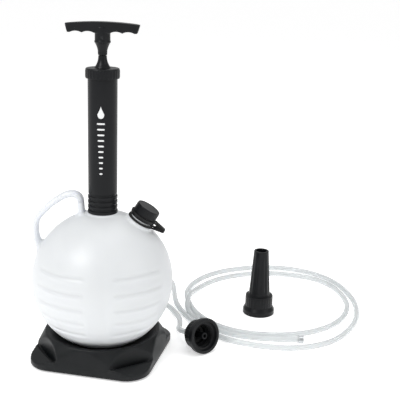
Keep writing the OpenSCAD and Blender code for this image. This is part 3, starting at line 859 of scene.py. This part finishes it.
def tank_skin(p, line, groove):
    """Distance in millimetres from each point to the tank's moulded outside."""
    q = p - np.array((0, 0, TANK_Z / MM))
    radius = np.linalg.norm(q, axis=1)
    azimuth = np.degrees(np.arctan2(q[:, 0], np.abs(q[:, 1])))
    columns = step(azimuth, -58, -50) * (1 - step(azimuth, -11, -7)) + step(azimuth, 14, 18) * (
        1 - step(azimuth, 56, 64)
    )
    rows = sum(np.exp(-(((p[:, 2] - z) / 3.0) ** 2)) for z in GROOVE_ROWS)
    lips = sum(np.exp(-(((p[:, 2] - z + 6.0) / 3.0) ** 2)) for z in GROOVE_ROWS)
    strip = step(azimuth, -5, -2) * (1 - step(azimuth, 8, 11)) * (1 - step(p[:, 2], 165, 178))
    ball = radius - TANK_R / MM + groove * columns * (rows - 0.5 * lips) + 0.3 * strip
    rho = np.hypot(p[:, 0], p[:, 1])
    neck = can(rho, p[:, 2], *NECK, 0.8)
    collar = can(rho, p[:, 2], *COLLAR, 0.9)
    turn = np.array(SPOUT.to_3x3())
    s = q @ turn
    across = np.hypot(s[:, 0], s[:, 1])
    spout = can(across, s[:, 2], *FILLER_SPOUT, 0.8)
    flange = can(across, s[:, 2], *SPOUT_FLANGE, 1.0)
    skin = blended(ball, collar, 3)
    skin = blended(skin, neck, 2)
    skin = blended(skin, flange, 5)
    skin = blended(skin, spout, 1.2)
    return blended(skin, loop_distance(p, line), 9)


def drawn_to(mesh, distance, rounds=4):
    """Moves a mesh's points on to the surface where a distance field is nought."""
    p = np.empty(len(mesh.vertices) * 3)
    mesh.vertices.foreach_get("co", p)
    p = p.reshape(-1, 3) / MM
    nudge = 0.05
    for _ in range(rounds):
        here = distance(p)
        slope = np.stack([distance(p + nudge * axis) - here for axis in np.eye(3)], 1) / nudge
        p -= (here / np.maximum((slope**2).sum(1), 0.3))[:, None] * slope
    mesh.vertices.foreach_set("co", (p * MM).ravel())
    mesh.update()


def cut_by(mesh, cutter, name):
    """A mesh less a cutter mesh."""
    obj = link(bpy.data.objects.new(name, mesh))
    tool = link(bpy.data.objects.new("cutter", cutter))
    cut = obj.modifiers.new("Cut", "BOOLEAN")
    cut.operation = "DIFFERENCE"
    cut.object = tool
    cut.solver = "MANIFOLD"
    out = applied(obj, name)
    bpy.data.objects.remove(tool)
    return out


def ball_outline(radius, centre, steps=64):
    """Half a circle, from pole to pole."""
    return [
        (radius * math.sin(math.pi * k / steps), centre - radius * math.cos(math.pi * k / steps))
        for k in range(steps + 1)
    ]


class PUMP_OT_tank(PumpOperator, bpy.types.Operator):
    """Round blow-moulded tank with its neck, filler spout and carrying loop"""

    bl_idname = "transfer_pump.tank"
    bl_label = "Tank"

    def execute(self, context):
        groove = self.sizes(context).groove_depth / MM
        radius, centre = TANK_R / MM, TANK_Z / MM
        loop = smooth_line([(x, 0, z) for x, z in LOOP_LINE], 4)[:, [0, 2]]
        bead = ball_outline(7, 0, 6)
        band = [revolved(bead, 8, Matrix.Translation((x * MM, 0, z * MM))) for x, z in loop]
        rough = mesh_from(
            "rough_tank",
            revolved(ball_outline(radius, centre), 96),
            revolved(rod(*NECK), 64),
            revolved(rod(*COLLAR), 64),
            revolved(rod(*FILLER_SPOUT), 64, SPOUT),
            revolved(rod(*SPOUT_FLANGE), 64, SPOUT),
            *band,
        )
        skin = remeshed(rough, "tank_skin", 1.9)
        drawn_to(skin, lambda p: tank_skin(p, loop, groove))
        wall = 2.4
        hollow = mesh_from("hollow", revolved(ball_outline(radius - wall, centre, 48), 96))
        neck_bore = mesh_from("neck_bore", revolved(rod(NECK[0] - wall, 170, 290), 64))
        spout_bore = mesh_from("spout_bore", revolved(rod(FILLER_SPOUT[0] - wall, 60, 160), 64, SPOUT))
        for tool in (hollow, neck_bore, spout_bore):
            skin = cut_by(skin, tool, "tank_skin")
        piece("tank_shell", skin, MATERIALS["tank"], "root", ["tank"])
        return {"FINISHED"}


# ---------- Stand ----------


class PUMP_OT_stand(PumpOperator, bpy.types.Operator):
    """Moulded stand with its four treads, and its rubber feet"""

    bl_idname = "transfer_pump.stand"
    bl_label = "Stand"

    def execute(self, context):
        piece(
            "stand_moulding", softened("stand", "stand_moulding", 1.7, 3), MATERIALS["stand"], "root",
            ["stand"],
        )
        dress("feet", MATERIALS["rubber"])
        return {"FINISHED"}


# ---------- Pump ----------


def barrel_outline():
    """The barrel's section: its threaded socket, floor and bore, with rounded grip rings at its foot."""
    low, high = BARREL_LOW.z / MM, BARREL_HIGH.z / MM
    socket, waist, port = 19.3, 22.35, 2.0
    floor_top, floor_foot = low + 27.1, low + 23.1
    rings = []
    for i in range(4):
        foot = low + i * 8.2
        wide = BARREL_R + (1.0 if i == 0 else 0.6)
        rings += [(wide, foot + (0 if i == 0 else 0.1), 1.2), (wide, foot + 5.0, 1.6)]
        rings += [(waist, foot + 5.2, 0.8), (waist, foot + 8.0, 0.8)]
    return rounded(
        [(socket, low, 0.3), *rings, (BARREL_R, low + 33.2, 1.0), (BARREL_R, high, 0.4)]
        + [(BARREL_BORE_R, high, 0.3), (BARREL_BORE_R, floor_top, 0.8), (port, floor_top, 0.0)]
        + [(port, floor_foot, 0.0), (socket, floor_foot, 0.3)]
    )


def printed(radius, rows):
    """A thin film on the front of an upright cylinder, from rows of (height, left, right) in millimetres."""
    columns = 8
    vertices, faces = [], []
    for proud in (0.16, -0.2):
        for z, left, right in rows:
            for k in range(columns + 1):
                a = (left + (right - left) * k / columns) / radius
                r = radius + proud
                vertices.append((r * math.sin(a) * MM, -r * math.cos(a) * MM, z * MM))
    wide, tall = columns + 1, len(rows)
    back = wide * tall
    for i in range(tall - 1):
        for k in range(columns):
            a = i * wide + k
            faces.append((a, a + 1, a + wide + 1, a + wide))
            faces.append((back + a + wide, back + a + wide + 1, back + a + 1, back + a))
        for k in (0, columns):
            a = i * wide + k
            faces.append((a, a + wide, back + a + wide, back + a))
    for i in (0, tall - 1):
        for k in range(columns):
            a = i * wide + k
            faces.append((a, a + 1, back + a + 1, back + a))
    return vertices, faces


def drop_rows(z, half, tall):
    """The rows of a drop that hangs from its point."""
    rows = []
    widest = 0.36
    for k in range(17):
        t = k / 16
        if t < widest:
            share = math.sqrt(max(0.0, 1 - ((t - widest) / widest) ** 2))
        else:
            share = (1 - (t - widest) / 0.64) ** 1.3
        wide = max(half * share, 0.05)
        rows.append((z + tall * t, -wide, wide))
    return rows


def bar_rows(z, half, tall):
    """The rows of a bar with rounded ends."""
    rows = []
    for k in range(9):
        t = 2 * k / 8 - 1
        inset = tall / 2 * (1 - math.sqrt(max(0.0, 1 - t * t)))
        rows.append((z + tall / 2 * t, -half + inset, half - inset))
    return rows


class PUMP_OT_barrel(PumpOperator, bpy.types.Operator):
    """Pump barrel with its grip rings and printed marks, and the ribbed cap on top"""

    bl_idname = "transfer_pump.barrel"
    bl_label = "Pump Barrel"

    def execute(self, context):
        sizes = self.sizes(context)
        piece(
            "barrel", mesh_from("barrel", revolved(barrel_outline(), 128)), MATERIALS["body"], "root",
            ["pump_barrel"],
        )
        marks = [printed(BARREL_R, drop_rows(410, 5.5, 20))]
        marks += [printed(BARREL_R, bar_rows(402 - 9 * k, 6.5 - 0.45 * k, 2.6)) for k in range(10)]
        piece("barrel_marks", mesh_from("marks", *marks), MATERIALS["ink"], "root")

        low, high = HEAD_LOW.z / MM, HEAD_HIGH.z / MM
        top = low + 16
        cone = [
            (6.8 + 6.0 * (1 - t) ** 2.2, top + 0.6 + (high - top - 1.2) * t) for t in np.linspace(0, 1, 9)
        ]
        outline = rounded(
            [(23.9, low, 0.4), (BARREL_CAP_R, low, 0.6), (BARREL_CAP_R, top, 2.6), (12.9, top, 0.5)]
            + [(r, z, 0) for r, z in cone]
            + [(6.8, high, 0.5), (5.35, high, 0.3), (5.35, top - 3, 0), (9.2, top - 3, 0)]
            + [(9.2, low + 11.4, 0), (23.9, low + 12.3, 0.3)]
        )
        piece(
            "barrel_cap_body", mesh_from("head", revolved(outline, 112)), MATERIALS["body"], "root",
            ["barrel_cap"],
        )
        ribs = grown(
            ring_of_ribs_tree(), "barrel_cap_ribs", rib_shape(3.2, 0.75, low + 1.4, top - 2.4),
            {"Count": sizes.head_ribs, "Radius": BARREL_CAP_R * MM, "Material": MATERIALS["body"]},
        )
        piece("barrel_cap_ribs", ribs, None, "root")
        return {"FINISHED"}


class PUMP_OT_plunger(PumpOperator, bpy.types.Operator):
    """Plunger rod, its arched handle with a ribbed neck, and its pin"""

    bl_idname = "transfer_pump.plunger"
    bl_label = "Plunger"

    def execute(self, context):
        piece(
            "handle", softened("t_handle", "handle", 0.75, 5), MATERIALS["body"], "plunger", ["t_handle"],
        )
        low = HANDLE_LOW.z / MM
        ribs = grown(
            ring_of_ribs_tree(), "handle_neck_ribs",
            rib_shape(1.2, 0.7, low + 0.8, low + 15.0, lean=0.6),
            {"Count": 12, "Radius": 6.9 * MM, "Material": MATERIALS["body"]},
        )
        piece("handle_neck_ribs", ribs, None, "plunger")
        # The pin is finished black like the handle, so its ends don't show as bright dots
        for node in ("plunger_rod", "handle_pin"):
            dress(node, MATERIALS["body"])
        return {"FINISHED"}


class PUMP_OT_valves(PumpOperator, bpy.types.Operator):
    """Piston, seals and valves inside the pump, and the float that shuts the neck"""

    bl_idname = "transfer_pump.valves"
    bl_label = "Valves and Seals"

    def execute(self, context):
        seals = ("piston_seal", "piston_valve", "foot_valve", "neck_gasket")
        washers = ("adapter_washer", "nozzle_washer")
        for finish, nodes in (
            ("rubber", seals + washers),
            ("acetal", ("piston", "rod_bush", "float_cage")),
            ("float", ("float_ball",)),
            ("steel", ("piston_bolt",)),
            ("foam", ("cap_liner",)),
        ):
            for node in nodes:
                dress(node, MATERIALS[finish])
        return {"FINISHED"}


# ---------- Filler cap ----------


def slab(outline, half, edge, place):
    """A flat piece from an outline in the x-z plane, in millimetres, with its two faces' edges eased."""
    centre = np.mean(outline, axis=0)
    vertices, faces = [], []
    count = len(outline)
    for y, inset in ((-half, edge), (-half + edge, 0), (half - edge, 0), (half, edge)):
        for point in outline:
            inwards = centre - point
            x, z = np.array(point) + inwards / np.linalg.norm(inwards) * inset
            vertices.append(place @ Vector((x * MM, y * MM, z * MM)))
    for i in range(3):
        for k in range(count):
            j = (k + 1) % count
            faces.append((i * count + k, i * count + j, (i + 1) * count + j, (i + 1) * count + k))
    faces += [tuple(range(count)), tuple(range(3 * count, 4 * count))]
    return vertices, faces


class PUMP_OT_cap(PumpOperator, bpy.types.Operator):
    """Ribbed filler cap and the folding rubber leash"""

    bl_idname = "transfer_pump.cap"
    bl_label = "Filler Cap"

    def execute(self, context):
        sizes = self.sizes(context)
        foot, bore, skirt = FILLER_CAP_FOOT, 18.3, 21.9
        outline = rounded(
            [(bore, foot, 0.2), (skirt, foot, 0.6), (skirt, foot + 3.2, 0.6)]
            + [(FILLER_CAP_R, foot + 3.3, 0.4), (FILLER_CAP_R, foot + 22, 2.2), (17.6, foot + 22, 0.4)]
            + [(17.2, foot + 21.6, 0.3), (0, foot + 21.6, 0)]
            + [(0, foot + 19.4, 0), (bore, foot + 19.4, 0.4)]
        )
        piece(
            "filler_cap_body", mesh_from("cap", revolved(outline, 96, SPOUT)), MATERIALS["body"], "cap",
            ["filler_cap"],
        )
        ribs = grown(
            ring_of_ribs_tree(), "filler_cap_ribs", rib_shape(1.9, 0.6, foot + 7.2, foot + 20.4),
            {"Count": sizes.cap_ribs, "Radius": FILLER_CAP_R * MM, "Material": MATERIALS["body"]},
        )
        ribs.transform(SPOUT)
        piece("filler_cap_ribs", ribs, None, "cap")
        # The folded strap: two halves that lie against each other, hinged at their blunt far end
        half = [(24.2, 120.9), (26.5, 120.7), (42.4, 123.9), (43.1, 124.6), (43.1, 126.6)]
        half += [(42.6, LEASH_FOLD_HEIGHT - 0.1), (27.0, LEASH_FOLD_HEIGHT - 0.15)]
        half += [(25.2, 124.4), (24.0, 123.4)]
        other = [(x, 2 * LEASH_FOLD_HEIGHT - z) for x, z in half]
        for name, strap, body in (
            ("leash_lower", half, "leash_low"),
            ("leash_upper", other, "leash_high"),
        ):
            piece(
                name + "_strap", mesh_from(name, slab(strap, 5.0, 0.4, SPOUT)), MATERIALS["rubber"],
                body, [name],
            )
        for node in ("leash_neck_ring", "leash_cap_ring"):
            dress(node, MATERIALS["rubber"])
        return {"FINISHED"}


# ---------- Adapter and nozzle ----------


def screw_thread(name, place, low, high, pitch, material):
    """A thread ridge between two heights of a bore."""
    rise = (high - low) * MM
    values = {
        "Radius": THREAD_R * MM, "Turns": rise / pitch, "Rise": rise, "Ridge": THREAD_RIDGE * MM,
        "Material": material,
    }
    mesh = grown(thread_tree(), name, bpy.data.meshes.new(name), values)
    mesh.transform(place @ Matrix.Translation((0, 0, low * MM)))
    return mesh


class PUMP_OT_adapter(PumpOperator, bpy.types.Operator):
    """Threaded adapter on the hose's near end"""

    bl_idname = "transfer_pump.adapter"
    bl_label = "Hose Adapter"

    def execute(self, context):
        sizes = self.sizes(context)
        outline = rounded(
            [(25.5, 0, 0.8), (31, 0, 0.9), (31, -9, 1.2), (ADAPTER_BODY_R, -9.2, 0.8)]
            + [(ADAPTER_BODY_R, -27, 1.4), (20, -34, 1.0), (9, -34.2, 1.5), (9, -46, 0.8)]
            + [(5.2, -46, 0.3), (5.2, -40, 0.2), (3.4, -40, 0.1), (3.4, -2, 0.5)]
            + [(5.6, -2, 0.7), (5.6, -29, 0.3), (16.5, -29, 0.3), (16.5, -20, 0.3)]
            + [(THREAD_R, -20, 0.3), (THREAD_R, -5, 0.6), (25.5, -5, 0.4)]
        )
        piece(
            "adapter_body", mesh_from("adapter", revolved(outline, 128, ADAPTER)), MATERIALS["body"],
            "root", ["hose_adapter"],
        )
        ribs = grown(
            ring_of_ribs_tree(), "adapter_ribs", rib_shape(3.0, 0.7, -25.4, -10.0),
            {"Count": 24, "Radius": ADAPTER_BODY_R * MM, "Material": MATERIALS["body"]},
        )
        ribs.transform(ADAPTER)
        piece("adapter_ribs", ribs, None, "root")
        thread = screw_thread(
            "adapter_thread", ADAPTER, -18.5, -7.0, sizes.thread_pitch, MATERIALS["body"]
        )
        piece("adapter_thread", thread, None, "root")
        return {"FINISHED"}


class PUMP_OT_nozzle(PumpOperator, bpy.types.Operator):
    """Pouring nozzle that stands on its flange"""

    bl_idname = "transfer_pump.nozzle"
    bl_label = "Pouring Nozzle"

    def execute(self, context):
        sizes = self.sizes(context)
        outline = rounded(
            [(THREAD_R, 0, 0.5), (30.2, 0, 0.8), (30.2, 9, 1.2), (27.2, 14.2, 1.2)]
            + [(NOZZLE_COLLAR_R, 14.8, 0.8), (NOZZLE_COLLAR_R, 37, 1.2), (20.4, 38.4, 0.9)]
            + [(14.4, 122, 0.6), (14.2, 127, 1.2), (10.4, 127, 0.8), (10.4, 113, 0.4)]
            + [(16.5, 29, 0.2), (16.5, 26, 0.3), (THREAD_R, 26, 0.3)]
        )

        def flutes(angle, radius, height):
            """Twelve shallow flutes down the cone."""
            if radius < 14 or not 40 < height < 121:
                return radius
            return radius - 0.9 * (0.5 + 0.5 * math.cos(12 * angle)) ** 2

        tall = []
        for a, b in zip(outline, outline[1:] + outline[:1]):
            steps = max(1, round(abs(b[1] - a[1]) / 8)) if min(a[0], b[0]) > 13 else 1
            tall += [a + (b - a) * k / steps for k in range(steps)]
        piece(
            "nozzle_body", mesh_from("nozzle", revolved(tall, 192, NOZZLE, flutes)), MATERIALS["body"],
            "nozzle", ["pouring_nozzle"],
        )
        low_ribs = grown(
            ring_of_ribs_tree(), "nozzle_collar_ribs", rib_shape(2.6, 0.7, 15.4, 36.0),
            {"Count": 28, "Radius": NOZZLE_COLLAR_R * MM, "Material": MATERIALS["body"]},
        )
        low_ribs.transform(NOZZLE)
        piece("nozzle_collar_ribs", low_ribs, None, "nozzle")
        thread = screw_thread(
            "nozzle_thread", NOZZLE, 3.0, 24.0, sizes.thread_pitch, MATERIALS["body"]
        )
        piece("nozzle_thread", thread, None, "nozzle")
        return {"FINISHED"}


# ---------- Panel and running ----------


class PUMP_PT_panel(bpy.types.Panel):
    """Sidebar panel that lists the pump's pieces"""

    bl_label = "Transfer Pump"
    bl_idname = "PUMP_PT_panel"
    bl_space_type = "VIEW_3D"
    bl_region_type = "UI"
    bl_category = "Transfer Pump"

    def draw(self, context):
        for group in (context.scene.transfer_pump_sizes, context.scene.transfer_pump_colours):
            box = self.layout.box()
            for name in group.bl_rna.properties.keys():
                if name not in ("rna_type", "name"):
                    box.prop(group, name)
        for operator in OPERATORS:
            self.layout.operator(operator.bl_idname)


OPERATORS = (
    PUMP_OT_stage,
    PUMP_OT_hose,
    PUMP_OT_tank,
    PUMP_OT_stand,
    PUMP_OT_barrel,
    PUMP_OT_plunger,
    PUMP_OT_valves,
    PUMP_OT_cap,
    PUMP_OT_adapter,
    PUMP_OT_nozzle,
)
CLASSES = (TransferPumpSizes, TransferPumpColours, *OPERATORS, PUMP_PT_panel)


def register():
    for cls in CLASSES:
        bpy.utils.register_class(cls)
    bpy.types.Scene.transfer_pump_sizes = bpy.props.PointerProperty(type=TransferPumpSizes)
    bpy.types.Scene.transfer_pump_colours = bpy.props.PointerProperty(type=TransferPumpColours)


def unregister():
    del bpy.types.Scene.transfer_pump_colours
    del bpy.types.Scene.transfer_pump_sizes
    for cls in reversed(CLASSES):
        bpy.utils.unregister_class(cls)


def main():
    """Builds the whole pump."""
    register()
    make_materials(bpy.context.scene.transfer_pump_colours)
    for operator in OPERATORS:
        group, name = operator.bl_idname.split(".")
        getattr(getattr(bpy.ops, group), name)()


if __name__ == "__main__":
    main()
